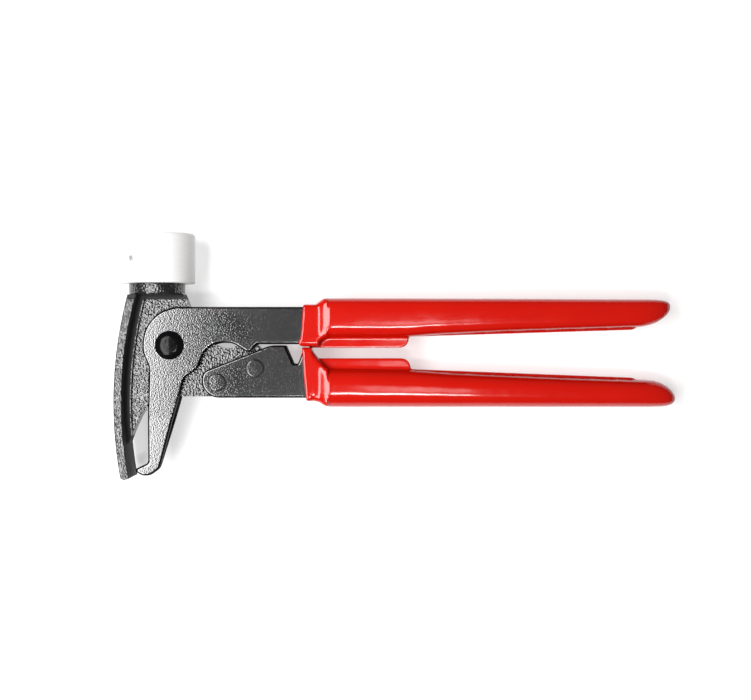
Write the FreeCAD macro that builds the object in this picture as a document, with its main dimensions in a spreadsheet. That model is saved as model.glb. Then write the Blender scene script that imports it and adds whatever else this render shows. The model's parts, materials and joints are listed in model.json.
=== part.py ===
import FreeCAD, Part

import math
import os

import Sketcher

# Wheel-weight hammer pliers. A cast head carries a curved hammer blade, a
# nylon-capped boss and one handle; a lever of two stamped plates turns on the
# pivot rivet and is the other handle at one end and the hooked jaw at the other.
#
# The parts are drawn about the pivot: +X along the handles, +Y towards the
# nylon cap, Z = 0 on the mid-plane. The last step sets every part down with
# the origin under the middle of the whole tool.

V = FreeCAD.Vector

SIZES = (
    ("handle_reach", 241.1, "pivot to the far end of the lower grip"),
    ("grip_lead", 2.4, "how much shorter the upper grip is"),
    ("jaw_reach", 62.4, "pivot down to the lowest point of the hook"),
    ("blade_overhang", 1.57, "blade end below the hook"),
    ("blade_radius", 200.0, "outer face of the curved blade"),
    ("blade_left", 25.95, "pivot to the blade's furthest point"),
    ("blade_drop", 27.0, "that point is this far below the pivot"),
    ("blade_thick", 4.3, "blade, measured along its radius"),
    ("blade_width", 25.0, "blade, across the tool"),
    ("blade_edge", 0.7, "rounding of the blade's rims"),
    ("foot_corner", 2.2, "rounding of the blade's foot, outside"),
    ("web_thick", 10.0, "middle plate of the casting"),
    ("root_radius", 2.0, "fillet where blade and boss meet the web"),
    ("land_rise", 0.6, "step of the web along the blade"),
    ("land_slope", 1.2, "width of that step"),
    ("stem_dia", 26.8, "boss and the stem inside the cap"),
    ("stem_side", 7.0, "boss axis left of the pivot"),
    ("boss_base", 24.0, "underside of the boss above the pivot"),
    ("cap_seat", 29.5, "cap mouth above the pivot"),
    ("cap_length", 23.7, "nylon cap"),
    ("cap_wall", 4.8, "nylon round the stem"),
    ("cap_end", 8.5, "nylon in front of the stem"),
    ("cap_edge", 1.0, "rounding of the cap"),
    ("bead_size", 0.8, "snap bead that holds the cap"),
    ("fit_gap", 0.02, "gap round a fixed piece"),
    ("pivot_dia", 9.0, "pivot rivet shank"),
    ("pivot_head_dia", 13.7, "pivot rivet head"),
    ("pivot_head_rise", 1.9, "pivot rivet head height"),
    ("pivot_play", 0.05, "running clearance round the pivot"),
    ("rivet_dia", 6.5, "handle rivet shank"),
    ("rivet_head_dia", 8.2, "handle rivet head, countersunk flush"),
    ("plate_thick", 3.0, "stamped handle and lever plates"),
    ("plate_gap", 0.1, "lever plate to web"),
    ("plate_edge", 1.1, "rolled edge of the plates"),
    ("joggle_start", 33.9, "below the pivot, where the lever plates close in"),
    ("joggle_run", 24.0, "length of that bend"),
    ("joggle_bend", 8.0, "inside bend radius"),
    ("shell_bulge", 1.4, "handle shell stands this proud of the plates"),
    ("shell_edge", 4.7, "rounding of the handle shell"),
    ("dip_thick", 1.3, "vinyl dip on the handles"),
)

doc = FreeCAD.newDocument("hammer_pliers")
sheet = doc.addObject("Spreadsheet::Sheet", "sizes")
for row, (alias, value, meaning) in enumerate(SIZES, start=1):
    sheet.set(f"A{row}", meaning)
    sheet.set(f"B{row}", str(value))
    sheet.setAlias(f"B{row}", alias)
doc.recompute()


def size(alias):
    return float(sheet.get(alias))


# Heights of the layers that several pieces share.
web_face = size("web_thick") / 2
lever_inner = web_face + size("plate_gap")
lever_outer = lever_inner + size("plate_thick")
handle_outer = web_face + size("plate_thick")
shell_depth = lever_outer + size("shell_bulge")

# Stations along the handles: from the head, and back from the grip's end.
GRIP_START = 60.0
SHELL_START = 66.0
PLATE_END = 68.0

# A cut this long goes right through the tool.
THROUGH = 60.0


def rounded(corners):
    """Lines and tangent arcs of a closed outline with corners (x, y, radius)."""
    stops = []
    for index, (x, y, radius) in enumerate(corners):
        here = V(x, y, 0)
        if radius == 0:
            stops.append((here, None, here))
            continue
        back = (V(*corners[index - 1][:2], 0) - here).normalize()
        ahead = (V(*corners[(index + 1) % len(corners)][:2], 0) - here).normalize()
        half = back.getAngle(ahead) / 2
        reach = radius / math.tan(half)
        crest = here + (back + ahead).normalize() * (radius / math.sin(half) - radius)
        stops.append((here + back * reach, crest, here + ahead * reach))
    geometry = []
    for index, (entry, crest, leave) in enumerate(stops):
        if crest is not None:
            geometry.append(Part.ArcOfCircle(entry, crest, leave))
        following = stops[(index + 1) % len(stops)][0]
        if (following - leave).Length > 1e-6:
            geometry.append(Part.LineSegment(leave, following))
    return geometry


def new_body(label):
    body = doc.addObject("PartDesign::Body", label)
    body.Label = label
    return body


def new_sketch(body, name, plane, geometry, offset=V(0, 0, 0)):
    drawn = body.newObject("Sketcher::SketchObject", name)
    support = next(f for f in body.Origin.OriginFeatures if f.Role == plane)
    drawn.AttachmentSupport = [(support, "")]
    drawn.MapMode = "FlatFace"
    drawn.AttachmentOffset = FreeCAD.Placement(offset, FreeCAD.Rotation())
    drawn.addGeometry(geometry, False)
    return drawn


def extrude(body, kind, name, drawn, length, both_ways=False, reverse=False):
    """Pad or Pocket; a text length is an expression on the sheet."""
    feature = body.newObject("PartDesign::" + kind, name)
    feature.Profile = drawn
    if isinstance(length, str):
        feature.setExpression("Length", length)
    else:
        feature.Length = length
    if both_ways:
        feature.SideType = "Symmetric"
    feature.Reversed = reverse
    drawn.Visibility = False
    return feature


def revolve(body, name, drawn, up=360.0, down=None):
    feature = body.newObject("PartDesign::Revolution", name)
    feature.Profile = drawn
    feature.ReferenceAxis = (drawn, ["V_Axis"])
    if down is None:
        feature.Angle = up
    else:
        feature.Type = "TwoAngles"
        feature.Angle = up
        feature.Angle2 = down
    return feature


def drill(body, name, x, y, radius):
    """A straight hole across the tool, its radius an expression on the sheet."""
    ring = Part.Circle(V(x, y, 0), V(0, 0, 1), 1.0)
    drawn = new_sketch(body, name + "_circle", "XY_Plane", [ring])
    hole = drawn.addConstraint(Sketcher.Constraint("Radius", 0, 1.0))
    drawn.renameConstraint(hole, "hole")
    drawn.setExpression("Constraints.hole", radius)
    return extrude(body, "Pocket", name, drawn, THROUGH, both_ways=True)


def edges_where(shape, test):
    return ["Edge%d" % (i + 1) for i, edge in enumerate(shape.Edges) if test(edge)]


def round_edges(body, name, base, names, radius):
    fillet = body.newObject("PartDesign::Fillet", name)
    fillet.Base = (base, names)
    fillet.setExpression("Radius", radius)
    return fillet


RIVETS = ((22.6, -17.7), (40.6, -11.0))


def blade_outline_offset():
    """Sketch origin at the centre of the blade's curve, seen along the tool."""
    return V(size("blade_radius") - size("blade_left"), 0, size("blade_drop"))


def blade_angle(height):
    """Turn about the blade's centre, in degrees, that reaches a height."""
    return math.degrees(math.asin((height + size("blade_drop")) / size("blade_radius")))


def stem_profile(gap):
    """Half outline of the stem inside the cap, from its mouth to its end."""
    seat = size("cap_seat")
    radius = size("stem_dia") / 2 + gap
    waist = radius - size("bead_size")
    end = seat + size("cap_length") - size("cap_end") + gap
    bead = seat + 0.35 * (end - seat)
    return [
        (radius, seat, 0),
        (radius, bead, 0),
        (waist, bead + 1.0, 0),
        (waist, bead + 3.0, 0),
        (radius, bead + 4.0, 0),
        (radius, end - 1.5, 0),
        (radius - 1.5, end, 0),
        (0, end, 0),
    ]


def web_outline():
    """Casting's middle plate: pivot boss, cutter notch, handle tongue, jaw window."""
    top = size("boss_base") + 1.0
    foot = -size("jaw_reach")
    return rounded([
        (-16.9, top, 0),
        (6.3, top, 0),
        (15.2, 3.6, 9.0),
        (18.0, 0.0, 2.0),
        (22.0, 0.0, 0),
        (27.05, -2.95, 9.7),
        (32.1, 0.0, 0),
        (42.0, -0.1, 0.8),
        (49.0, -9.2, 5.0),
        (46.5, -24.4, 8.0),
        (2.0, -24.4, 7.0),
        (-13.4, foot + 30.6, 6.0),
        (-17.8, foot + 21.0, 9.0),
        (-19.6, foot + 16.0, 0),
        (-22.7, foot + 14.4, 0),
        (-23.8, -27.0, 0),
        (-22.6, -5.0, 0),
        (-19.3, 15.0, 0),
    ])


def hammer_head():
    """Malleable casting: curved blade, boss with stem, web."""
    body = new_body("hammer_head")
    outer = size("blade_radius")
    inner = outer - size("blade_thick")
    half = size("blade_width") / 2
    edge = size("blade_edge")
    base = size("boss_base")

    rim = rounded([(-outer, -half, edge), (-inner, -half, edge),
                   (-inner, half, edge), (-outer, half, edge)])
    drawn = new_sketch(body, "blade_section", "XZ_Plane", rim, blade_outline_offset())
    foot = -size("jaw_reach") - size("blade_overhang")
    revolve(body, "blade", drawn, -blade_angle(foot), blade_angle(base) + 1.5)

    turn = math.radians(blade_angle(foot))
    centre = V(outer - size("blade_left"), -size("blade_drop"), 0)
    along = V(math.sin(turn), math.cos(turn), 0)
    tip = centre + V(-math.cos(turn), math.sin(turn), 0) * outer
    heel = centre + V(-math.cos(turn), math.sin(turn), 0) * inner
    above_tip = tip + along * 8
    above_heel = heel + along * 8
    beyond = rounded([(above_tip.x, above_tip.y, 0), (tip.x, tip.y, size("foot_corner")),
                      (heel.x, heel.y, 0.9), (above_heel.x, above_heel.y, 0),
                      (heel.x + 9, heel.y, 0), (heel.x, tip.y - 9, 0), (tip.x - 9, tip.y, 0)])
    drawn = new_sketch(body, "beyond_foot", "XY_Plane", beyond)
    extrude(body, "Pocket", "foot_corners", drawn, THROUGH, both_ways=True)

    above = rounded([(-45, base, 0), (5, base, 0), (5, base + 20, 0), (-45, base + 20, 0)])
    drawn = new_sketch(body, "above_boss_base", "XY_Plane", above)
    extrude(body, "Pocket", "blade_top", drawn, THROUGH, both_ways=True)

    boss = rounded([(0, base, 0), (size("stem_dia") / 2, base, 0.8)] + stem_profile(0))
    drawn = new_sketch(body, "boss_profile", "XY_Plane", boss, V(-size("stem_side"), 0, 0))
    revolve(body, "boss_and_stem", drawn)

    drawn = new_sketch(body, "web_outline", "XY_Plane", web_outline())
    extrude(body, "Pad", "web", drawn, "sizes.web_thick", both_ways=True)

    land = web_face + size("land_rise")
    root = size("root_radius")
    shelf = inner - root - size("land_rise")
    upper_half = [(-inner - 1, land + root, 0), (-inner, land + root, 0), (-inner, land, root),
                  (-shelf, land, 0), (-shelf + size("land_slope"), web_face - 0.1, 0)]
    lower_half = [(x, -z, radius) for x, z, radius in reversed(upper_half)]
    drawn = new_sketch(body, "root_section", "XZ_Plane", rounded(upper_half + lower_half),
                       blade_outline_offset())
    revolve(body, "blade_root", drawn, -blade_angle(foot + 22.6), blade_angle(base) + 0.5)

    def root_corner(side):
        """Concave corner, its two ends sunk a little into the boss and the web."""
        near = root * (1 - math.sqrt(0.5))
        sunk = 0.4
        high = V(base + sunk, side * (web_face + root), 0)
        crest = V(base - near, side * (web_face + near), 0)
        low = V(base - root, side * (web_face - sunk), 0)
        heel = V(base + sunk, side * (web_face - sunk), 0)
        return [Part.ArcOfCircle(high, crest, low), Part.LineSegment(low, heel),
                Part.LineSegment(heel, high)]

    drawn = new_sketch(body, "boss_root_section", "YZ_Plane", root_corner(1) + root_corner(-1),
                       V(0, 0, -16.5))
    extrude(body, "Pad", "boss_root", drawn, 22.4)

    drill(body, "pivot_bore", 0, 0, "sizes.pivot_dia / 2 + sizes.pivot_play")
    for number, (x, y) in enumerate(RIVETS, start=1):
        drill(body, f"rivet_hole_{number}", x, y, "sizes.rivet_dia / 2 + sizes.fit_gap")

    dimple = Part.Circle(V(29.7, -6.9, 0), V(0, 0, 1), 1.7)
    drawn = new_sketch(body, "cast_mark", "XY_Plane", [dimple], V(0, 0, web_face))
    extrude(body, "Pocket", "cast_dimple", drawn, 0.3)
    return body


def nylon_cap():
    """Turned nylon face, snapped over a bead on the stem."""
    body = new_body("nylon_cap")
    radius = size("stem_dia") / 2 + size("cap_wall")
    front = size("cap_seat") + size("cap_length")
    edge = size("cap_edge")
    hollow = stem_profile(size("fit_gap"))
    profile = [(0, front, 0), (radius, front, edge), (radius, size("cap_seat"), edge)] + hollow
    drawn = new_sketch(body, "cap_profile", "XY_Plane", rounded(profile), V(-size("stem_side"), 0, 0))
    revolve(body, "cap", drawn)
    return body


def pivot_rivet():
    """Steel rivet with a low dome on both sides, clenched into the lever plates."""
    body = new_body("pivot_rivet")
    shank = size("pivot_dia") / 2
    head = size("pivot_head_dia") / 2
    seat = lever_outer + size("fit_gap")
    crown = seat + size("pivot_head_rise")
    side = [(shank, seat, 0), (head, seat, 0), (head, seat + 0.5, 0.35),
            (head * 0.6, crown - 0.15, head * 0.8), (0, crown, 0)]
    mirrored = [(x, -y, radius) for x, y, radius in reversed(side)]
    drawn = new_sketch(body, "rivet_profile", "XZ_Plane", rounded(side + mirrored))
    revolve(body, "rivet", drawn)
    return body


def handle_rivet(label, x, y):
    """Rivet through web and handle plates, countersunk flush."""
    body = new_body(label)
    shank = size("rivet_dia") / 2
    head = size("rivet_head_dia") / 2
    neck = handle_outer - (head - shank)
    side = [(shank, neck, 0), (head, handle_outer, 0), (head - 0.5, handle_outer + 0.15, 0),
            (0, handle_outer + 0.2, 0)]
    mirrored = [(r, -z, radius) for r, z, radius in reversed(side)]
    drawn = new_sketch(body, "rivet_profile", "XZ_Plane", rounded(side + mirrored), V(x, 0, -y))
    revolve(body, "rivet", drawn)
    return body


# --- handles -----------------------------------------------------------------

def upper_stations(end):
    """Steel shell of the lever: x, lowest y, highest y, depth, edge radius."""
    deep = shell_depth
    soft = size("shell_edge")
    return [
        (SHELL_START, 0.5, 18.2, lever_outer, 0.9),
        (69.0, 0.5, 18.2, lever_outer, 0.9),
        (74.0, 5.2, 21.2, deep, soft),
        (114.0, 5.2, 21.2, deep, soft),
        (126.0, 5.6, 21.2, deep, soft),
        (160.0, 7.6, 21.1, deep, soft),
        (end - 38.7, 9.0, 21.0, deep, soft),
        (end - 16.7, 10.3, 20.9, deep, soft),
        (end - 9.0, 11.6, 20.7, deep - 0.4, 4.2),
        (end - 5.2, 13.3, 20.4, deep - 1.3, 3.3),
        (end - 2.9, 15.0, 19.9, deep - 2.8, 2.3),
        (end - 1.6, 16.6, 19.2, deep - 4.6, 1.2),
    ]


def lower_stations(end):
    """Steel shell of the fixed handle, the same five values."""
    deep = shell_depth
    soft = size("shell_edge")
    return [
        (SHELL_START, -25.0, -2.6, handle_outer, 0.9),
        (68.5, -25.2, -5.0, handle_outer, 0.9),
        (74.5, -28.3, -12.2, deep, soft),
        (114.0, -28.3, -12.4, deep, soft),
        (133.0, -28.3, -13.7, deep, soft),
        (160.0, -28.3, -15.0, deep, soft),
        (end - 59.5, -28.3, -16.0, deep, soft),
        (end - 26.0, -28.3, -17.7, deep, soft),
        (end - 13.0, -28.2, -18.8, deep, 4.5),
        (end - 6.9, -28.0, -20.6, deep - 0.8, 3.5),
        (end - 3.4, -27.5, -22.6, deep - 2.4, 2.3),
        (end - 1.9, -26.9, -24.1, deep - 4.4, 1.3),
    ]


def upper_flange(end, grow):
    """Seam of the lever's half-shells: guard fin in front, thin lip behind."""
    return rounded([
        (66.2 - grow, 0.5 - grow, 0),
        (69.5, 0.1 - grow, 0),
        (112.6 + grow, 0.1 - grow, 4.0 + grow),
        (113.2 + grow, 5.3 - grow, 0),
        (130.0, 5.3 - grow, 0),
        (160.0, 6.3 - grow, 0),
        (end - 38.7, 7.6 - grow, 0),
        (end - 17.5 + grow, 8.8 - grow, 0),
        (end - 12.0, 14.0, 0),
        (66.2 - grow, 14.0, 0),
    ])


def lower_flange(end, grow):
    """Seam of the fixed handle's half-shells."""
    return rounded([
        (66.2 - grow, -20.0, 0),
        (66.2 - grow, -2.6 + grow, 0),
        (67.0 + grow / 2, -2.6 + grow, 0),
        (69.6, -6.3 + grow, 2.5),
        (74.5, -7.5 + grow, 6.0),
        (113.2 + grow, -7.5 + grow, 4.2 + grow),
        (114.2 + grow, -12.4 + grow, 0),
        (133.6, -12.9 + grow, 0),
        (160.0, -14.0 + grow, 0),
        (end - 59.5, -14.9 + grow, 0),
        (end - 26.0, -16.5 + grow, 0),
        (end - 16.5 + grow, -17.2 + grow, 0),
        (end - 12.0, -21.0, 0),
    ])


def loft(body, kind, name, stations, section):
    """Loft through one sketch per station, square to the handle."""
    drawn = [
        new_sketch(body, f"{name}_{index}", "YZ_Plane", section(*values[1:]), V(0, 0, values[0]))
        for index, values in enumerate(stations)
    ]
    feature = body.newObject("PartDesign::" + kind, name)
    feature.Profile = drawn[0]
    feature.Sections = drawn[1:]
    feature.Ruled = True
    return feature


def half_shell(body, side, stations, flange):
    """Pressed shell on one side of the seam, with its flange, hollow inside."""
    sheet_metal = size("plate_thick")

    def outside(low, high, depth, radius):
        return rounded([(low, 0, 0), (high, 0, 0),
                        (high, side * depth, radius), (low, side * depth, radius)])

    def inside(low, high, depth, radius):
        radius = max(radius - sheet_metal, 0.4)
        return rounded([(low + sheet_metal, -side, 0), (high - sheet_metal, -side, 0),
                        (high - sheet_metal, side * (depth - sheet_metal), radius),
                        (low + sheet_metal, side * (depth - sheet_metal), radius)])

    loft(body, "AdditiveLoft", "shell", stations, outside)
    drawn = new_sketch(body, "seam_outline", "XY_Plane", flange)
    extrude(body, "Pad", "seam", drawn, "sizes.plate_thick", reverse=side < 0)
    hollow = [values for values in stations if values[2] - values[1] > 3.2 * sheet_metal]
    first = (hollow[0][0] - 1.0,) + hollow[0][1:]
    loft(body, "SubtractiveLoft", "hollow", [first] + hollow, inside)


def lever_outline():
    """Lever plate: round pivot end, jaw leg with hook, cutter arch, handle."""
    foot = -size("jaw_reach")
    return [
        (PLATE_END, 18.2, 0),
        (-12.9, 18.2, 17.7),
        (-12.9, -3.2, 10.0),
        (-9.7, -10.6, 8.0),
        (-10.9, foot + 6.1, 2.2),
        (-16.8, foot + 3.3, 0.9),
        (-16.8, foot + 1.75, 0.9),
        (-13.6, foot, 3.0),
        (-9.9, foot, 5.0),
        (-5.4, foot + 3.4, 5.0),
        (6.9, -15.7, 3.5),
        (13.4, -10.8, 3.0),
        (18.07, 1.15, 10.0),
        (29.8, 1.15, 8.0),
        (37.7, -3.85, 2.0),
        (41.35, 0.5, 1.5),
        (PLATE_END, 0.5, 0),
    ]


def joggle_profile(side):
    """Edge view of the lever plate: flat by the web, closing in at the hook."""
    thick = size("plate_thick")
    start = -size("joggle_start")
    run = size("joggle_run")
    bend = size("joggle_bend")
    slope = math.atan2(lever_inner, run)
    shift = thick * math.tan(slope / 2)
    foot = -size("jaw_reach") - 5
    corners = [
        (25.0, lever_inner, 0), (25.0, lever_outer, 0),
        (start - shift, lever_outer, bend + thick), (start - run - shift, thick, bend),
        (foot, thick, 0), (foot, 0, 0),
        (start - run, 0, bend + thick), (start, lever_inner, bend),
    ]
    return rounded([(y, side * z, radius) for y, z, radius in corners])


def lever_plate(label, side):
    """Stamped lever half: jaw, pivot eye and handle shell in one sheet."""
    body = new_body(label)
    drawn = new_sketch(body, "sheet_profile", "YZ_Plane", joggle_profile(side), V(0, 0, -22))
    extrude(body, "Pad", "sheet", drawn, 90)

    frame = rounded([(-40, -size("jaw_reach") - 20, 0), (90, -size("jaw_reach") - 20, 0),
                     (90, 40, 0), (-40, 40, 0)])
    drawn = new_sketch(body, "plate_outline", "XY_Plane", frame + rounded(lever_outline()))
    trimmed = extrude(body, "Pocket", "blanked", drawn, THROUGH, both_ways=True)
    doc.recompute()

    def on_outer_face(edge):
        middle = edge.valueAt((edge.FirstParameter + edge.LastParameter) / 2)
        bent = (-middle.y - size("joggle_start")) / size("joggle_run")
        inner = lever_inner * (1 - min(max(bent, 0), 1))
        rise = abs(edge.Vertexes[0].Z - edge.Vertexes[-1].Z)
        upright = rise > 0.9 * size("plate_thick") and edge.Length < 1.1 * size("plate_thick")
        outside = side * middle.z > inner + 0.7 * size("plate_thick")
        return outside and not upright and middle.x < PLATE_END - 0.1

    round_edges(body, "rolled_edge", trimmed, edges_where(trimmed.Shape, on_outer_face),
                "sizes.plate_edge")
    end = size("handle_reach") - size("grip_lead")
    half_shell(body, side, upper_stations(end), upper_flange(end, 0))
    drill(body, "pivot_eye", 0, 0, "sizes.pivot_dia / 2 + sizes.fit_gap")
    return body


def handle_outline():
    """Fixed handle plate: nose round the rivets, raised fin, notch by the grip."""
    return [
        (15.2, -25.0, 8.3),
        (15.2, -12.8, 4.9),
        (47.9, -0.05, 14.0),
        (54.9, -0.05, 1.2),
        (58.7, -8.9, 1.3),
        (61.0, -8.9, 1.3),
        (63.3, -2.6, 1.2),
        (PLATE_END, -2.6, 0),
        (PLATE_END, -25.0, 0),
    ]


def handle_plate(label, side):
    """Stamped half of the fixed handle, riveted to the web."""
    body = new_body(label)
    drawn = new_sketch(body, "plate_outline", "XY_Plane", rounded(handle_outline()),
                       V(0, 0, side * web_face))
    plate = extrude(body, "Pad", "plate", drawn, "sizes.plate_thick", reverse=side < 0)
    doc.recompute()

    def on_outer_face(edge):
        middle = edge.valueAt((edge.FirstParameter + edge.LastParameter) / 2)
        return abs(side * middle.z - handle_outer) < 1e-3 and middle.x < PLATE_END - 0.1

    round_edges(body, "rolled_edge", plate, edges_where(plate.Shape, on_outer_face),
                "sizes.plate_edge")
    end = size("handle_reach")
    half_shell(body, side, lower_stations(end), lower_flange(end, 0))
    for number, (x, y) in enumerate(RIVETS, start=1):
        drill(body, f"rivet_hole_{number}", x, y, "sizes.rivet_dia / 2 + sizes.fit_gap")
        sink_depth = (size("rivet_head_dia") - size("rivet_dia")) / 2
        wide = size("rivet_head_dia") / 2 + size("fit_gap")
        narrow = size("rivet_dia") / 2 + size("fit_gap")
        floor = handle_outer - sink_depth
        cone = [(0, side * floor, 0), (narrow, side * floor, 0), (wide, side * handle_outer, 0),
                (wide, side * (handle_outer + 1), 0), (0, side * (handle_outer + 1), 0)]
        drawn = new_sketch(body, f"sink_profile_{number}", "XZ_Plane", rounded(cone), V(x, 0, -y))
        sink = body.newObject("PartDesign::Groove", f"countersink_{number}")
        sink.Profile = drawn
        sink.ReferenceAxis = (drawn, ["V_Axis"])
        sink.Angle = 360.0
    return body


def grip(label, stations, flange, tip, dip_edge, slot):
    """Vinyl dip over both half-shells, bridging the gap between the plates."""
    body = new_body(label)
    dip = size("dip_thick")

    def section(low, high, depth, radius):
        return rounded([(low, -depth, radius), (high, -depth, radius),
                        (high, depth, radius), (low, depth, radius)])

    def coated(low, high, depth, radius):
        return section(low - dip, high + dip, depth + dip, radius + dip)

    first = (GRIP_START,) + stations[0][1:]
    skin = [first] + stations
    drawn_tip = (tip[0], tip[1] + dip, tip[2] - dip, tip[3] - dip, tip[4] - dip)
    loft(body, "AdditiveLoft", "skin", skin + [drawn_tip], coated)
    drawn = new_sketch(body, "fin_outline", "XY_Plane", flange(dip))
    extrude(body, "Pad", "fin", drawn, "2 * (sizes.plate_thick + sizes.dip_thick)", both_ways=True)

    loft(body, "SubtractiveLoft", "shell_space", stations, section)
    drawn = new_sketch(body, "seam_outline", "XY_Plane", flange(0))
    extrude(body, "Pocket", "seam_space", drawn, "2 * sizes.plate_thick", both_ways=True)

    inner, outer, low, high = slot
    for side in (1, -1):
        slit = rounded([(low, side * inner, 0), (high, side * inner, 0),
                        (high, side * outer, 0), (low, side * outer, 0)])
        drawn = new_sketch(body, f"plate_slit_{2 + side}", "YZ_Plane", slit, V(0, 0, GRIP_START - 2))
        extrude(body, "Pocket", f"plate_space_{2 + side}", drawn, PLATE_END - GRIP_START + 2, reverse=True)

    drawn = new_sketch(body, "dip_edge", "XY_Plane", rounded(dip_edge))
    extrude(body, "Pocket", "dip_line", drawn, THROUGH, both_ways=True)
    return body


def upper_grip():
    end = size("handle_reach") - size("grip_lead")
    dip_edge = [(50, 30, 0), (63.4, 30, 0), (63.4, 19.2, 0), (62.8, 8.6, 8.0), (62.2, 3.1, 0),
                (61.0, 1.0, 0), (62.4, -0.3, 0), (62.4, -5, 0), (50, -5, 0)]
    return grip("upper_grip", upper_stations(end), lambda grow: upper_flange(end, grow),
                (end, 17.2, 19.6, 4.0, 1.1), dip_edge, (lever_inner, lever_outer, 0.5, 18.2))


def lower_grip():
    end = size("handle_reach")
    dip_edge = [(50, 5, 0), (62.8, 5, 0), (62.8, -1.3, 0), (63.2, -5.0, 0), (63.6, -12.5, 0),
                (64.4, -21.2, 0), (65.0, -26.0, 0), (65.0, -31, 0), (50, -31, 0)]
    return grip("lower_grip", lower_stations(end), lambda grow: lower_flange(end, grow),
                (end, -26.7, -24.4, 3.6, 1.0), dip_edge, (web_face, handle_outer, -25.0, -2.6))


pieces = [
    hammer_head(),
    nylon_cap(),
    handle_plate("lower_handle_front", 1),
    handle_plate("lower_handle_rear", -1),
    handle_rivet("handle_rivet_nose", *RIVETS[0]),
    handle_rivet("handle_rivet_tongue", *RIVETS[1]),
    lower_grip(),
    lever_plate("lever_plate_front", 1),
    lever_plate("lever_plate_rear", -1),
    upper_grip(),
    pivot_rivet(),
]
doc.recompute()

# Set the tool down: origin under the middle of its box.
whole = FreeCAD.BoundBox()
for piece in pieces:
    whole.add(piece.Shape.optimalBoundingBox(False))
shift = V(-whole.Center.x, -whole.Center.y, -whole.ZMin)
for piece in pieces:
    piece.Placement = FreeCAD.Placement(shift, FreeCAD.Rotation())
doc.recompute()
print("pivot at", [round(value, 3) for value in shift], "overall",
      [round(value, 2) for value in (whole.XLength, whole.YLength, whole.ZLength)])

for item in doc.Objects:
    if {"Invalid", "Error"} & set(item.State):
        raise RuntimeError(f"{item.Label} did not build: {item.State}")
for piece in pieces:
    if piece.Shape.isNull() or not piece.Shape.isValid() or len(piece.Shape.Solids) != 1:
        raise RuntimeError(f"{piece.Label} is not one valid solid")

os.makedirs("parts", exist_ok=True)
for piece in pieces:
    piece.Shape.exportStep(f"parts/{piece.Label}.step")
    print(piece.Label, round(piece.Shape.Volume, 1))
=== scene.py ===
import json
import math

import bpy
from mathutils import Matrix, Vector


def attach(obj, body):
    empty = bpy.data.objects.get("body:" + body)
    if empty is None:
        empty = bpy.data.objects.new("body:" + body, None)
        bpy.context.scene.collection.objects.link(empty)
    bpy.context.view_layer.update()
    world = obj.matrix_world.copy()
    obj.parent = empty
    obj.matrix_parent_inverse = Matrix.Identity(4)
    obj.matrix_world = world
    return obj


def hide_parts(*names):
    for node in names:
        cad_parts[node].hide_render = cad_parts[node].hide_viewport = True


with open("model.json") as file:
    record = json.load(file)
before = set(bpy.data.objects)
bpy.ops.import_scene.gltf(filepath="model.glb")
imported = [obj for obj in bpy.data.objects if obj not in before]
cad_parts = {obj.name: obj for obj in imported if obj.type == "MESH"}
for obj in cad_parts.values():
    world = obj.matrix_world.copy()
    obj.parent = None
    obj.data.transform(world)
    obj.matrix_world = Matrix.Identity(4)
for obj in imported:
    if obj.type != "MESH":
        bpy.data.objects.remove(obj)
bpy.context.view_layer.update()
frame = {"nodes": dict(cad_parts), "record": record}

# Camera straight above the tool's flat side, over a pale plain table. The table
# touches the nylon cap and the tips of the grips, which is how the tool lies.
camera = bpy.data.objects.new("camera", bpy.data.cameras.new("camera"))
camera.data.lens = 69.9
camera.location = (-0.00975, 0.00292, 0.7182)
bpy.context.scene.collection.objects.link(camera)
bpy.context.scene.camera = camera
bpy.context.scene.view_settings.view_transform = "Standard"

cap_line = -0.1146
table_tilt = math.radians(-1.83)
bpy.ops.mesh.primitive_plane_add(size=3.0, location=(cap_line, 0, -0.0003), rotation=(0, table_tilt, 0))
table = bpy.context.object
table.name = "table"


def linear(colour):
    """An sRGB hex colour as linear values."""
    parts = [int(colour[index:index + 2], 16) / 255 for index in (1, 3, 5)]
    return [p / 12.92 if p <= 0.04045 else ((p + 0.055) / 1.055) ** 2.4 for p in parts] + [1.0]


def add_node(material, kind, inputs, **settings):
    """One shader node: its sockets take a value or another node's output."""
    node = material.node_tree.nodes.new("ShaderNode" + kind)
    for name, value in settings.items():
        setattr(node, name, value)
    for name, value in inputs.items():
        if isinstance(value, bpy.types.NodeSocket):
            material.node_tree.links.new(value, node.inputs[name])
        else:
            node.inputs[name].default_value = value
    return node


def new_material(name):
    material = bpy.data.materials.new(name)
    material.use_nodes = True
    return material, material.node_tree.nodes["Principled BSDF"]


def plug(material, output, socket):
    material.node_tree.links.new(output, socket)


# Matt white paper, with the faint unevenness of its pulp. It glows a little, as a
# backdrop that is lit on its own does, so it stays white round the tool.
paper, shader = new_material("matt_white_paper")
place = add_node(paper, "TexCoord", {}).outputs["Object"]
pulp = add_node(paper, "TexNoise", {"Vector": place, "Scale": 40.0, "Detail": 2.0}).outputs[0]
tone = add_node(paper, "Mix", {0: pulp, 6: linear("#c8c8c8"), 7: linear("#d0d0d0")}, data_type="RGBA")
plug(paper, tone.outputs[2], shader.inputs["Base Color"])
shader.inputs["Roughness"].default_value = 0.9
shader.inputs["Emission Color"].default_value = linear("#ffffff")
shader.inputs["Emission Strength"].default_value = 0.48
table.data.materials.append(paper)

# Studio light: a tall softbox on the left that the black plates mirror as a long
# fade, a narrow lamp below the handles for their streaks, a small one over the
# grips, and a dim room all round.
world = bpy.data.worlds.new("studio")
bpy.context.scene.world = world
world.use_nodes = True
world.node_tree.nodes["Background"].inputs["Color"].default_value = linear("#ffffff")
world.node_tree.nodes["Background"].inputs["Strength"].default_value = 0.12


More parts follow.
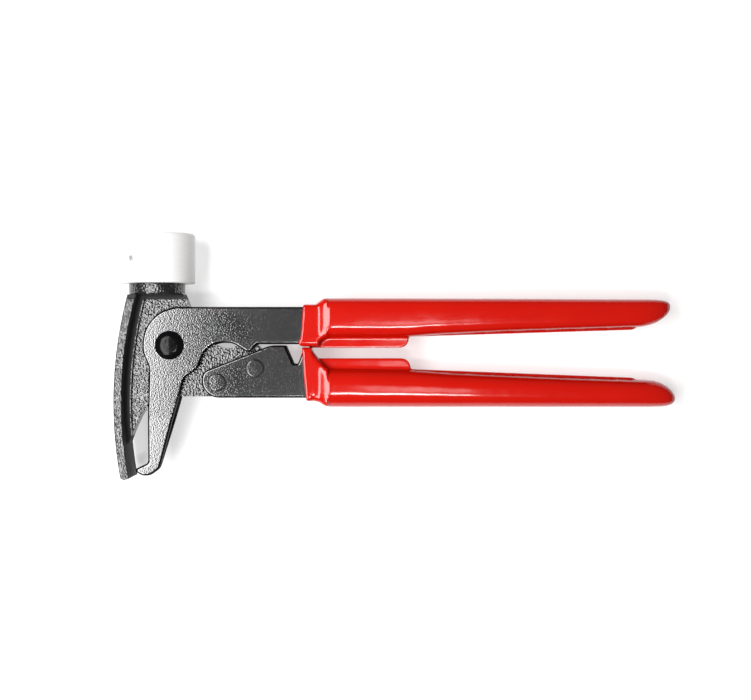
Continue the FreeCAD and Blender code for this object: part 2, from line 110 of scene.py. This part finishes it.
def softbox(name, place, along, across, watts):
    """A flat lamp that faces straight down, so its edges stay square to the tool."""
    lamp = bpy.data.lights.new(name, "AREA")
    lamp.shape = "RECTANGLE"
    lamp.size = along
    lamp.size_y = across
    lamp.energy = watts
    box = bpy.data.objects.new(name, lamp)
    box.location = place
    bpy.context.scene.collection.objects.link(box)


softbox("left_softbox", (-0.415, -0.08, 0.72), 0.38, 0.90, 13.0)
softbox("low_strip", (-0.005, -0.20, 0.72), 0.13, 0.06, 1.3)
softbox("small_fill", (0.03, -0.045, 0.74), 0.08, 0.08, 0.12)

MM = 0.001
pivot = Vector(frame["record"]["behaviour"]["joints"][0]["pos_m"])


def at(x, y, z=0.0):
    """A place in millimetres from the middle of the pivot."""
    return pivot + Vector((x, y, z)) * MM


# Hammer head: malleable iron cast in sand and painted black. The blade, the boss
# for the cap and the middle web are one casting. The blade's root and a band
# under the boss are dressed, without grain and dull, and painted darker as
# painted shade in the groove there. A painted highlight runs along the ledge's
# edge. The rest keeps the grain of the mould, which the gloss paint turns into bright specks.
blade_radius = 200.0
blade_thick = 4.0
root_width = 3.0
ledge = blade_radius - blade_thick - root_width
blade_centre = at(174.05, -27.0)
boss_foot = at(0, 24.0).y
sand_grain = 0.9

casting, shader = new_material("painted_sand_cast_iron")
place = add_node(casting, "TexCoord", {}).outputs["Object"]
grain = add_node(casting, "TexNoise", {
    "Vector": place, "Scale": 1 / (sand_grain * MM), "Detail": 0.0}).outputs[0]
mottle = add_node(casting, "TexNoise", {"Vector": place, "Scale": 120.0, "Detail": 2.0}).outputs[0]
flat = add_node(casting, "VectorMath", {0: place, 1: (1, 1, 0)}, operation="MULTIPLY").outputs[0]
from_centre = add_node(casting, "VectorMath", {
    0: flat, 1: (blade_centre.x, blade_centre.y, 0)}, operation="DISTANCE").outputs["Value"]
behind_blade = add_node(casting, "MapRange", {
    "Value": from_centre, "From Min": (ledge - 0.3) * MM, "From Max": (ledge + 0.1) * MM})
in_blade = add_node(casting, "MapRange", {
    "Value": from_centre, "From Min": (blade_radius - blade_thick - 0.1) * MM,
    "From Max": (blade_radius - blade_thick + 0.1) * MM, "To Min": 1.0, "To Max": 0.0})
height_y = add_node(casting, "SeparateXYZ", {0: place}).outputs["Y"]
under_boss = add_node(casting, "MapRange", {
    "Value": height_y, "From Min": boss_foot, "From Max": boss_foot + 0.1 * MM,
    "To Min": 1.0, "To Max": 0.0})
root_strip = add_node(casting, "Math", {
    0: behind_blade.outputs[0], 1: in_blade.outputs[0]}, operation="MULTIPLY").outputs[0]
root_strip = add_node(casting, "Math", {
    0: root_strip, 1: under_boss.outputs[0]}, operation="MULTIPLY").outputs[0]
boss_root = add_node(casting, "MapRange", {
    "Value": height_y, "From Min": boss_foot - 2.2 * MM, "From Max": boss_foot - 1.9 * MM})
boss_root = add_node(casting, "Math", {
    0: boss_root.outputs[0], 1: under_boss.outputs[0]}, operation="MULTIPLY").outputs[0]
# Root strip and the band under the boss: no grain, dull, and painted darker as painted shade in the
# groove.
dull_root_and_shade = add_node(casting, "Math", {0: root_strip, 1: boss_root}, operation="MAXIMUM").outputs[0]
coarse = add_node(casting, "Math", {0: 1.0, 1: dull_root_and_shade}, operation="SUBTRACT").outputs[0]
relief = add_node(casting, "Math", {0: grain, 1: coarse}, operation="MULTIPLY").outputs[0]
bump = add_node(casting, "Bump", {"Height": relief, "Strength": 1.0, "Distance": 0.42 * MM})
paint = add_node(casting, "Mix", {0: mottle, 6: linear("#0e0e0f"), 7: linear("#1d1d1e")}, data_type="RGBA")
# Painted shade: near-black colour on the root strip and under the boss.
paint = add_node(casting, "Mix", {0: dull_root_and_shade, 6: paint.outputs[2], 7: linear("#0b0b0c")}, data_type="RGBA")
# Painted highlight: a thin light grey line along the ledge's edge, broken up by the grain.
off_ledge = add_node(casting, "Math", {
    0: from_centre, 1: (ledge + 0.05) * MM}, operation="SUBTRACT").outputs[0]
off_ledge = add_node(casting, "Math", {0: off_ledge}, operation="ABSOLUTE").outputs[0]
ledge_line = add_node(casting, "MapRange", {
    "Value": off_ledge, "From Min": 0.06 * MM, "From Max": 0.2 * MM, "To Min": 1.0, "To Max": 0.0})
below_root = add_node(casting, "MapRange", {
    "Value": height_y, "From Min": boss_foot - 3.2 * MM, "From Max": boss_foot - 2.6 * MM,
    "To Min": 1.0, "To Max": 0.0})
ledge_line = add_node(casting, "Math", {
    0: ledge_line.outputs[0], 1: below_root.outputs[0]}, operation="MULTIPLY")
painted_ledge_highlight = add_node(casting, "MapRange", {"Value": grain, "From Min": 0.36, "From Max": 0.50})
painted_ledge_highlight = add_node(casting, "Math", {
    0: ledge_line.outputs[0], 1: painted_ledge_highlight.outputs[0]}, operation="MULTIPLY")
paint = add_node(casting, "Mix", {0: painted_ledge_highlight.outputs[0], 6: paint.outputs[2], 7: linear("#a8a8a8")},
                 data_type="RGBA")
dull = add_node(casting, "MapRange", {"Value": dull_root_and_shade, "To Min": 0.14, "To Max": 0.8})
plug(casting, paint.outputs[2], shader.inputs["Base Color"])
plug(casting, dull.outputs[0], shader.inputs["Roughness"])
plug(casting, bump.outputs[0], shader.inputs["Normal"])
shader.inputs["Specular IOR Level"].default_value = 0.75
frame["nodes"]["hammer_head"].data.materials[0] = casting

# Cap: a turned nylon sleeve pressed over the boss, the soft striking face. It is
# almost white, a little waxy, and has picked up two grey scuffs.
nylon, shader = new_material("turned_white_nylon")
place = add_node(nylon, "TexCoord", {}).outputs["Object"]
turning = add_node(nylon, "Mapping", {"Vector": place, "Scale": (1, 12, 1)}).outputs[0]
tool_marks = add_node(nylon, "TexNoise", {"Vector": turning, "Scale": 150.0, "Detail": 2.0}).outputs[0]
cloud = add_node(nylon, "TexNoise", {"Vector": place, "Scale": 900.0, "Detail": 3.0}).outputs[0]
colour = add_node(nylon, "Mix", {0: tool_marks, 6: linear("#dededd"), 7: linear("#e6e6e5")},
                  data_type="RGBA").outputs[2]
for x, y, reach in ((-17.0, 41.0, 2.6), (5.5, 47.5, 1.4)):
    away = add_node(nylon, "VectorMath", {0: place, 1: at(x, y, 15.0)}, operation="DISTANCE")
    near = add_node(nylon, "MapRange", {
        "Value": away.outputs["Value"], "From Min": 0.0, "From Max": reach * MM,
        "To Min": 1.0, "To Max": 0.0})
    patchy = add_node(nylon, "Math", {0: near.outputs[0], 1: cloud}, operation="MULTIPLY")
    scuff = add_node(nylon, "MapRange", {
        "Value": patchy.outputs[0], "From Min": 0.16, "From Max": 0.36, "To Max": 0.8})
    colour = add_node(nylon, "Mix", {0: scuff.outputs[0], 6: colour, 7: linear("#646463")},
                      data_type="RGBA").outputs[2]
bump = add_node(nylon, "Bump", {"Height": tool_marks, "Strength": 0.3, "Distance": 0.1 * MM})
plug(nylon, colour, shader.inputs["Base Color"])
plug(nylon, bump.outputs[0], shader.inputs["Normal"])
shader.inputs["Roughness"].default_value = 0.45
shader.inputs["Subsurface Weight"].default_value = 0.6
shader.inputs["Subsurface Radius"].default_value = (0.008, 0.008, 0.008)
frame["nodes"]["nylon_cap"].data.materials[0] = nylon

# Fixed handle: two stamped steel plates riveted to the web, their edges rolled
# over, under black hammer-finish enamel that dries to a fine orange peel. The
# gloss coat is left off the rolled edges and the crack round each rivet head,
# and these are painted near black as painted shade.
peel_size = 0.6
rivet_places = ((22.6, -17.7), (40.6, -11.0))
rivet_head_radius = 4.1

enamel, shader = new_material("black_hammer_enamel")
place = add_node(enamel, "TexCoord", {}).outputs["Object"]
peel = add_node(enamel, "TexNoise", {
    "Vector": place, "Scale": 1 / (peel_size * MM), "Detail": 0.5}).outputs[0]
drift = add_node(enamel, "TexNoise", {"Vector": place, "Scale": 45.0, "Detail": 3.0}).outputs[0]
paint = add_node(enamel, "Mix", {0: drift, 6: linear("#101011"), 7: linear("#19191a")}, data_type="RGBA")
upright = add_node(enamel, "SeparateXYZ", {
    0: add_node(enamel, "TexCoord", {}).outputs["Normal"]}).outputs["Z"]
upright = add_node(enamel, "Math", {0: upright}, operation="ABSOLUTE").outputs[0]
# Rolled edges, and below the crack round each rivet head, lose the gloss coat and are painted near black
# as painted shade.
coatless_edge_and_shade = add_node(enamel, "MapRange", {
    "Value": upright, "From Min": 0.94, "From Max": 0.968, "To Min": 1.0, "To Max": 0.0}).outputs[0]
flat = add_node(enamel, "VectorMath", {0: place, 1: (1, 1, 0)}, operation="MULTIPLY").outputs[0]
for x, y in rivet_places:
    head = at(x, y)
    away = add_node(enamel, "VectorMath", {0: flat, 1: (head.x, head.y, 0)}, operation="DISTANCE")
    off_ring = add_node(enamel, "Math", {
        0: away.outputs["Value"], 1: rivet_head_radius * MM}, operation="SUBTRACT")
    off_ring = add_node(enamel, "Math", {0: off_ring.outputs[0]}, operation="ABSOLUTE").outputs[0]
    ring = add_node(enamel, "MapRange", {
        "Value": off_ring, "From Min": 0.15 * MM, "From Max": 0.4 * MM, "To Min": 0.8, "To Max": 0.0})
    coatless_edge_and_shade = add_node(enamel, "Math", {0: coatless_edge_and_shade, 1: ring.outputs[0]}, operation="MAXIMUM").outputs[0]
# Painted shade: near black on the rolled edges and in the rivet cracks.
paint = add_node(enamel, "Mix", {0: coatless_edge_and_shade, 6: paint.outputs[2], 7: linear("#050505")}, data_type="RGBA")
lacquer = add_node(enamel, "Math", {0: 1.0, 1: coatless_edge_and_shade}, operation="SUBTRACT").outputs[0]
bump = add_node(enamel, "Bump", {"Height": peel, "Strength": 1.0, "Distance": 0.055 * MM})
plug(enamel, paint.outputs[2], shader.inputs["Base Color"])
plug(enamel, lacquer, shader.inputs["Coat Weight"])
plug(enamel, bump.outputs[0], shader.inputs["Coat Normal"])
plug(enamel, bump.outputs[0], shader.inputs["Normal"])
shader.inputs["Roughness"].default_value = 0.5
shader.inputs["Specular IOR Level"].default_value = 0.1
shader.inputs["Coat Roughness"].default_value = 0.13
shader.inputs["Coat IOR"].default_value = 1.9
for plate in ("lower_handle_front", "lower_handle_rear"):
    frame["nodes"][plate].data.materials[0] = enamel

# Handle rivets: steel, closed flush and painted over together with the plates,
# under the same enamel; only the crack round each head, painted as shade, shows them.
for rivet in ("handle_rivet_nose", "handle_rivet_tongue"):
    frame["nodes"][rivet].data.materials[0] = enamel

# Lower grip: red PVC, dipped hot over both half-shells and the seam between
# them, so every edge under it is rounded off. The dip ends in an uneven line.
grip_depth = 10.8
neck_depth = 9.1
seam_depth = 4.3


def block(name, low, high):
    """A box between two corners, given in millimetres from the pivot."""
    bpy.ops.object.select_all(action="DESELECT")
    bpy.ops.mesh.primitive_cube_add(size=1.0)
    piece = bpy.context.object
    piece.name = name
    low, high = at(*low), at(*high)
    piece.location = (low + high) / 2
    piece.scale = high - low
    bpy.ops.object.transform_apply(location=True, rotation=True, scale=True)
    return piece


def pick(piece, kind, test):
    """Selects, for edit mode, what has its middle where the test says."""
    bpy.ops.object.mode_set(mode="EDIT")
    bpy.ops.mesh.select_mode(type=kind)
    bpy.ops.mesh.select_all(action="DESELECT")
    bpy.ops.object.mode_set(mode="OBJECT")
    mesh = piece.data
    items = {"VERT": mesh.vertices, "EDGE": mesh.edges, "FACE": mesh.polygons}[kind]
    for item in items:
        corners = [item.co] if kind == "VERT" else [mesh.vertices[i].co for i in item.vertices]
        middle = (sum(corners, Vector()) / len(corners) - pivot) / MM
        item.select = test(middle)
    bpy.ops.object.mode_set(mode="EDIT")


def cut_across(piece, x):
    """A ring of edges right round the piece at one place along the tool."""
    pick(piece, "FACE", lambda middle: True)
    bpy.ops.mesh.bisect(plane_co=at(x, 0), plane_no=(1, 0, 0))


def sleeve(name, crown, stations):
    """Rounded box whose low edge, high edge and depth change along the handle."""
    piece = block(name, (stations[0][0], -10, -10), (stations[-1][0], 10, 10))
    pick(piece, "EDGE", lambda middle: abs(middle.y) > 9 and abs(middle.z) > 9)
    bpy.ops.mesh.bevel(offset=9.6 * MM, segments=14, profile=crown, affect="EDGES")
    for x, *_ in stations[1:-1]:
        cut_across(piece, x)
    for x, low, high, depth in stations:
        pick(piece, "VERT", lambda middle: abs(middle.x - x) < 0.02)
        bpy.ops.transform.resize(value=(1, (high - low) / 20, depth / 10), center_override=at(x, 0))
        bpy.ops.transform.translate(value=(0, (high + low) / 2 * MM, 0))
    bpy.ops.object.mode_set(mode="OBJECT")
    return piece


def neck(name, mouth, back, low, high):
    """Tight part round the two plates; its mouth follows the points (x, y)."""
    front = mouth[0][0]
    piece = block(name, (front, low, -neck_depth), (back, high, neck_depth))
    pick(piece, "EDGE", lambda middle: abs(middle.y - (low + high) / 2) > 1 and abs(middle.z) > 4)
    bpy.ops.mesh.bevel(offset=1.8 * MM, segments=4, affect="EDGES")
    for _, y in mouth[1:-1]:
        pick(piece, "FACE", lambda middle: True)
        bpy.ops.mesh.bisect(plane_co=at(0, y), plane_no=(0, 1, 0))
    bpy.ops.object.mode_set(mode="OBJECT")
    rim = {round((vertex.co - pivot).y / MM, 2) for vertex in piece.data.vertices}
    for y in sorted(rim):
        pick(piece, "VERT", lambda middle: middle.x < front + 0.01 and abs(middle.y - y) < 0.01)
        bpy.ops.transform.translate(value=((mouth_at(mouth, y) - front) * MM, 0, 0))
    bpy.ops.object.mode_set(mode="OBJECT")
    return piece


def mouth_at(mouth, y):
    """x of the dip's edge at one height."""
    rising = sorted(mouth, key=lambda point: point[1])
    for (x0, y0), (x1, y1) in zip(rising, rising[1:]):
        if y <= y1:
            return x0 + (x1 - x0) * max(0, y - y0) / (y1 - y0)
    return rising[-1][0]


def slab(name, low, high, corner, reach):
    """Seam between the half-shells, with one corner rounded."""
    piece = block(name, (*low, -seam_depth), (*high, seam_depth))
    pick(piece, "EDGE", lambda middle: (middle.xy - Vector(corner)).length < 0.1)
    bpy.ops.mesh.bevel(offset=reach * MM, segments=8, affect="EDGES")
    bpy.ops.object.mode_set(mode="OBJECT")
    return piece


def dipped(name, parts):
    """Melts the parts into one skin, as the dip flows over what is under it."""
    bpy.ops.object.select_all(action="DESELECT")
    for part in parts:
        part.select_set(True)
    piece = parts[0]
    bpy.context.view_layer.objects.active = piece
    bpy.ops.object.join()
    piece.name = name
    melt = piece.modifiers.new("melt", "REMESH")
    melt.mode = "VOXEL"
    melt.voxel_size = 0.45 * MM
    flow = piece.modifiers.new("flow", "SMOOTH")
    flow.factor = 0.5
    flow.iterations = 8
    bpy.ops.object.modifier_apply(modifier="melt")
    bpy.ops.object.modifier_apply(modifier="flow")
    bpy.ops.object.shade_smooth()
    return piece


vinyl, shader = new_material("dipped_red_pvc")
place = add_node(vinyl, "TexCoord", {}).outputs["Object"]
flow_marks = add_node(vinyl, "TexNoise", {"Vector": place, "Scale": 45.0, "Detail": 2.0}).outputs[0]
fine = add_node(vinyl, "TexNoise", {"Vector": place, "Scale": 700.0, "Detail": 2.0}).outputs[0]
red = add_node(vinyl, "Mix", {0: flow_marks, 6: linear("#b40c02"), 7: linear("#bd1103")}, data_type="RGBA")
sheen = add_node(vinyl, "MapRange", {"Value": fine, "To Min": 0.10, "To Max": 0.17})
wave = add_node(vinyl, "Bump", {"Height": flow_marks, "Strength": 1.0, "Distance": 0.35 * MM})
skin = add_node(vinyl, "Bump", {
    "Height": fine, "Strength": 0.25, "Distance": 0.03 * MM, "Normal": wave.outputs[0]})
plug(vinyl, red.outputs[2], shader.inputs["Base Color"])
plug(vinyl, sheen.outputs[0], shader.inputs["Roughness"])
plug(vinyl, skin.outputs[0], shader.inputs["Normal"])
shader.inputs["IOR"].default_value = 1.48

lower_parts = [
    sleeve("lower_body", 0.60, [
        (73.0, -28.7, -10.0, 9.5), (74.9, -29.5, -10.7, 10.3), (76.0, -29.6, -10.9, grip_depth),
        (113, -29.6, -11.5, grip_depth), (133, -29.6, -12.9, grip_depth),
        (160, -29.6, -14.1, grip_depth), (190, -29.6, -15.3, grip_depth),
        (218, -29.6, -16.2, grip_depth), (226, -29.6, -16.4, 10.7), (230.8, -29.55, -16.8, 10.5),
        (234.2, -29.45, -17.8, 10.0), (237.0, -29.1, -19.4, 9.1), (239, -28.5, -21.2, 7.8),
        (240.3, -27.5, -23.0, 6.1), (241.1, -26.2, -24.8, 3.4)]),
    neck("lower_neck", [(65.0, -26.6), (64.4, -21.2), (63.6, -12.5), (63.0, -2.95), (62.8, -1.0)],
         67.6, -26.6, -1.0),
    sleeve("lower_collar", 0.82, [
        (66.0, -26.6, -1.1, 9.1), (67.4, -26.6, -1.6, 9.1), (68.6, -26.6, -3.7, 9.1),
        (69.4, -26.8, -4.6, 9.1), (71.2, -27.3, -7.0, 9.2), (73.6, -28.9, -9.8, 10.1),
        (75.2, -29.4, -10.8, 10.6)]),
    slab("lower_fin", (66.5, -14.0), (114.6, -6.2), (114.6, -6.2), 4.4),
    slab("lower_lip", (112.0, -20.0), (224.0, -11.3), (224.0, -11.3), 4.5),
]
pick(lower_parts[-1], "VERT", lambda middle: middle.x > 219 and middle.y > -16)
bpy.ops.transform.translate(value=(0, -4.1 * MM, 0))
bpy.ops.object.mode_set(mode="OBJECT")
lower_grip = dipped("lower_grip_skin", lower_parts)
lower_grip.data.materials.append(vinyl)
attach(lower_grip, "head")
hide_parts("lower_grip")

# Lever: two stamped plates, mirror images, that turn on the pivot. Their lower
# ends close in to one hooked jaw, their upper ends are the other handle.
for plate in ("lever_plate_front", "lever_plate_rear"):
    frame["nodes"][plate].data.materials[0] = enamel

# Upper grip: the same red dip over the lever's half-shells.
upper_parts = [
    sleeve("upper_body", 0.69, [
        (73.0, 3.4, 22.0, 9.5), (74.9, 3.8, 22.4, 10.3), (76.0, 3.8, 22.5, grip_depth),
        (112, 3.8, 22.45, grip_depth), (126, 4.9, 22.4, grip_depth), (160, 6.5, 22.3, grip_depth),
        (200, 7.8, 22.1, grip_depth), (218, 8.4, 22.0, grip_depth), (224, 8.6, 22.0, 10.7),
        (228, 9.3, 21.95, 10.5), (231.5, 10.5, 21.85, 10.0), (234.5, 12.3, 21.6, 9.2),
        (236.6, 14.1, 21.1, 7.9), (238.0, 16.0, 20.3, 6.0), (238.7, 17.4, 19.3, 3.6)]),
    neck("upper_neck", [(63.4, 19.4), (62.8, 8.6), (62.2, 3.05), (61.0, 1.0), (62.4, -0.6)],
         71.0, -0.6, 19.4),
    sleeve("upper_collar", 0.82, [
        (66.0, -0.6, 19.4, 9.1), (67.8, -0.6, 19.4, 9.1), (68.8, -0.5, 19.4, 9.1),
        (69.5, -0.2, 19.6, 9.1), (71.1, 1.2, 20.9, 9.2), (73.1, 3.0, 22.3, 10.0),
        (75.2, 3.8, 22.45, 10.6)]),
    slab("upper_fin", (66.5, -1.2), (113.7, 8.0), (113.7, -1.2), 4.2),
    slab("upper_lip", (112.0, 4.0), (224.0, 12.0), (224.0, 4.0), 4.5),
]
pick(upper_parts[-1], "VERT", lambda middle: middle.x > 219 and middle.y < 9)
bpy.ops.transform.translate(value=(0, 3.3 * MM, 0))
bpy.ops.object.mode_set(mode="OBJECT")
upper_grip = dipped("upper_grip_skin", upper_parts)
upper_grip.data.materials.append(vinyl)
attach(upper_grip, "lever")
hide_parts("upper_grip")

# Pivot rivet: steel with a low dome on each side, left black and a little oily.
oxide, shader = new_material("black_oxide_steel")
place = add_node(oxide, "TexCoord", {}).outputs["Object"]
hammering = add_node(oxide, "TexNoise", {"Vector": place, "Scale": 500.0, "Detail": 2.0}).outputs[0]
dark = add_node(oxide, "Mix", {0: hammering, 6: linear("#050506"), 7: linear("#0c0c0d")}, data_type="RGBA")
bump = add_node(oxide, "Bump", {"Height": hammering, "Strength": 0.6, "Distance": 0.15 * MM})
plug(oxide, dark.outputs[2], shader.inputs["Base Color"])
plug(oxide, bump.outputs[0], shader.inputs["Normal"])
shader.inputs["Roughness"].default_value = 0.16
shader.inputs["Specular IOR Level"].default_value = 0.12
frame["nodes"]["pivot_rivet"].data.materials[0] = oxide
